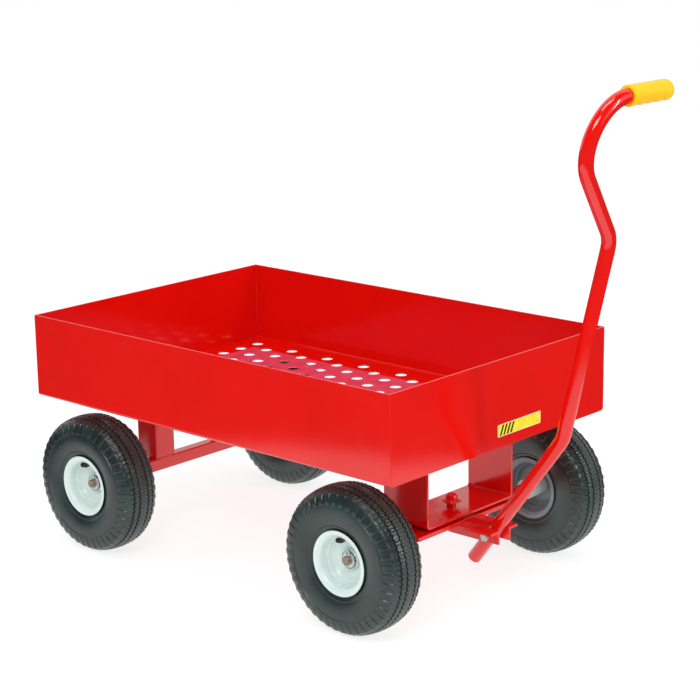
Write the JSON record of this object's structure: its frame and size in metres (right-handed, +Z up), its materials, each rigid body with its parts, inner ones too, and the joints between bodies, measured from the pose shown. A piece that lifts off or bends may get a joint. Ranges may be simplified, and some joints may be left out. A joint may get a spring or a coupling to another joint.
{
  "type": "pull wagon",
  "caption": "Four-wheel hand-pulled wagon: perforated steel tray on a swivelling front axle, with a tilting cane-shaped pull handle and pneumatic tyres.",
  "frame": {"origin": "on the ground, under the middle of the whole wagon's bounding box with the handle parked upright", "axes": "+X forward towards the pull handle, +Y to the wagon's left, +Z up"},
  "size_m": [1.223, 0.6246, 0.9589],
  "materials": {
    "red_enamel": "glossy baked enamel",
    "steel_rod": "cold drawn, oiled",
    "zinc_plate": "bright zinc plate",
    "wear_nylon": "moulded nylon, greased",
    "label_vinyl": "blank printed vinyl",
    "grip_vinyl": "dipped vinyl",
    "tyre_rubber": "moulded rubber",
    "tube_rubber": "butyl rubber",
    "rim_enamel": "glossy white enamel",
    "bearing_steel": "ground steel",
    "valve_brass": "turned brass",
    "cap_plastic": "moulded plastic"
  },
  "bodies": {
    "chassis": {"perforated_deck": "red_enamel", "side_panel_right": "red_enamel", "side_panel_left": "red_enamel", "front_end_panel": "red_enamel", "rear_end_panel": "red_enamel", "label_plate": "label_vinyl", "front_bolster": "red_enamel", "kingpin_bush": "red_enamel", "rear_leg_right": "red_enamel", "rear_leg_left": "red_enamel", "rear_axle_beam": "red_enamel", "rear_axle": "steel_rod", "rear_axle_washers": "zinc_plate", "rear_cotter_pins": "zinc_plate"},
    "steering": {"swivel_plate": "red_enamel", "wear_ring": "wear_nylon", "kingpin": "steel_rod", "kingpin_cap": "red_enamel", "front_axle": "steel_rod", "axle_carriers": "red_enamel", "front_axle_washers": "zinc_plate", "front_cotter_pins": "zinc_plate", "tongue_angle_right": "red_enamel", "tongue_angle_left": "red_enamel", "pivot_bolt": "zinc_plate", "pivot_nut": "zinc_plate"},
    "handle": {"pull_handle": "red_enamel", "hand_grip": "grip_vinyl"},
    "front_right_wheel": {"front_right_tyre": "tyre_rubber", "front_right_inner_tube": "tube_rubber", "front_right_rim_outer_half": "rim_enamel", "front_right_rim_inner_half": "rim_enamel", "front_right_hub_tube": "rim_enamel", "front_right_bearings": "bearing_steel", "front_right_valve_stem": "valve_brass", "front_right_valve_cap": "cap_plastic"},
    "front_left_wheel": {"front_left_tyre": "tyre_rubber", "front_left_inner_tube": "tube_rubber", "front_left_rim_outer_half": "rim_enamel", "front_left_rim_inner_half": "rim_enamel", "front_left_hub_tube": "rim_enamel", "front_left_bearings": "bearing_steel", "front_left_valve_stem": "valve_brass", "front_left_valve_cap": "cap_plastic"},
    "rear_right_wheel": {"rear_right_tyre": "tyre_rubber", "rear_right_inner_tube": "tube_rubber", "rear_right_rim_outer_half": "rim_enamel", "rear_right_rim_inner_half": "rim_enamel", "rear_right_hub_tube": "rim_enamel", "rear_right_bearings": "bearing_steel", "rear_right_valve_stem": "valve_brass", "rear_right_valve_cap": "cap_plastic"},
    "rear_left_wheel": {"rear_left_tyre": "tyre_rubber", "rear_left_inner_tube": "tube_rubber", "rear_left_rim_outer_half": "rim_enamel", "rear_left_rim_inner_half": "rim_enamel", "rear_left_hub_tube": "rim_enamel", "rear_left_bearings": "bearing_steel", "rear_left_valve_stem": "valve_brass", "rear_left_valve_cap": "cap_plastic"}
  },
  "joints": [
    {"name": "steer", "type": "hinge", "parent": "chassis", "child": "steering", "pos_m": [0.19307, 0, 0.15389], "axis": [0, 0, 1], "range_deg": [-45, 45]},
    {"name": "handle_tilt", "type": "hinge", "parent": "steering", "child": "handle", "pos_m": [0.28708, 0, 0.12699], "axis": [0, 1, 0], "range_deg": [-7, 54]},
    {"name": "front_right_roll", "type": "hinge", "parent": "steering", "child": "front_right_wheel", "pos_m": [0.19307, -0.269, 0.1346], "axis": [0, 1, 0], "continuous": true},
    {"name": "front_left_roll", "type": "hinge", "parent": "steering", "child": "front_left_wheel", "pos_m": [0.19307, 0.269, 0.1346], "axis": [0, 1, 0], "continuous": true},
    {"name": "rear_right_roll", "type": "hinge", "parent": "chassis", "child": "rear_right_wheel", "pos_m": [-0.47692, -0.269, 0.1346], "axis": [0, 1, 0], "continuous": true},
    {"name": "rear_left_roll", "type": "hinge", "parent": "chassis", "child": "rear_left_wheel", "pos_m": [-0.47692, 0.269, 0.1346], "axis": [0, 1, 0], "continuous": true}
  ]
}
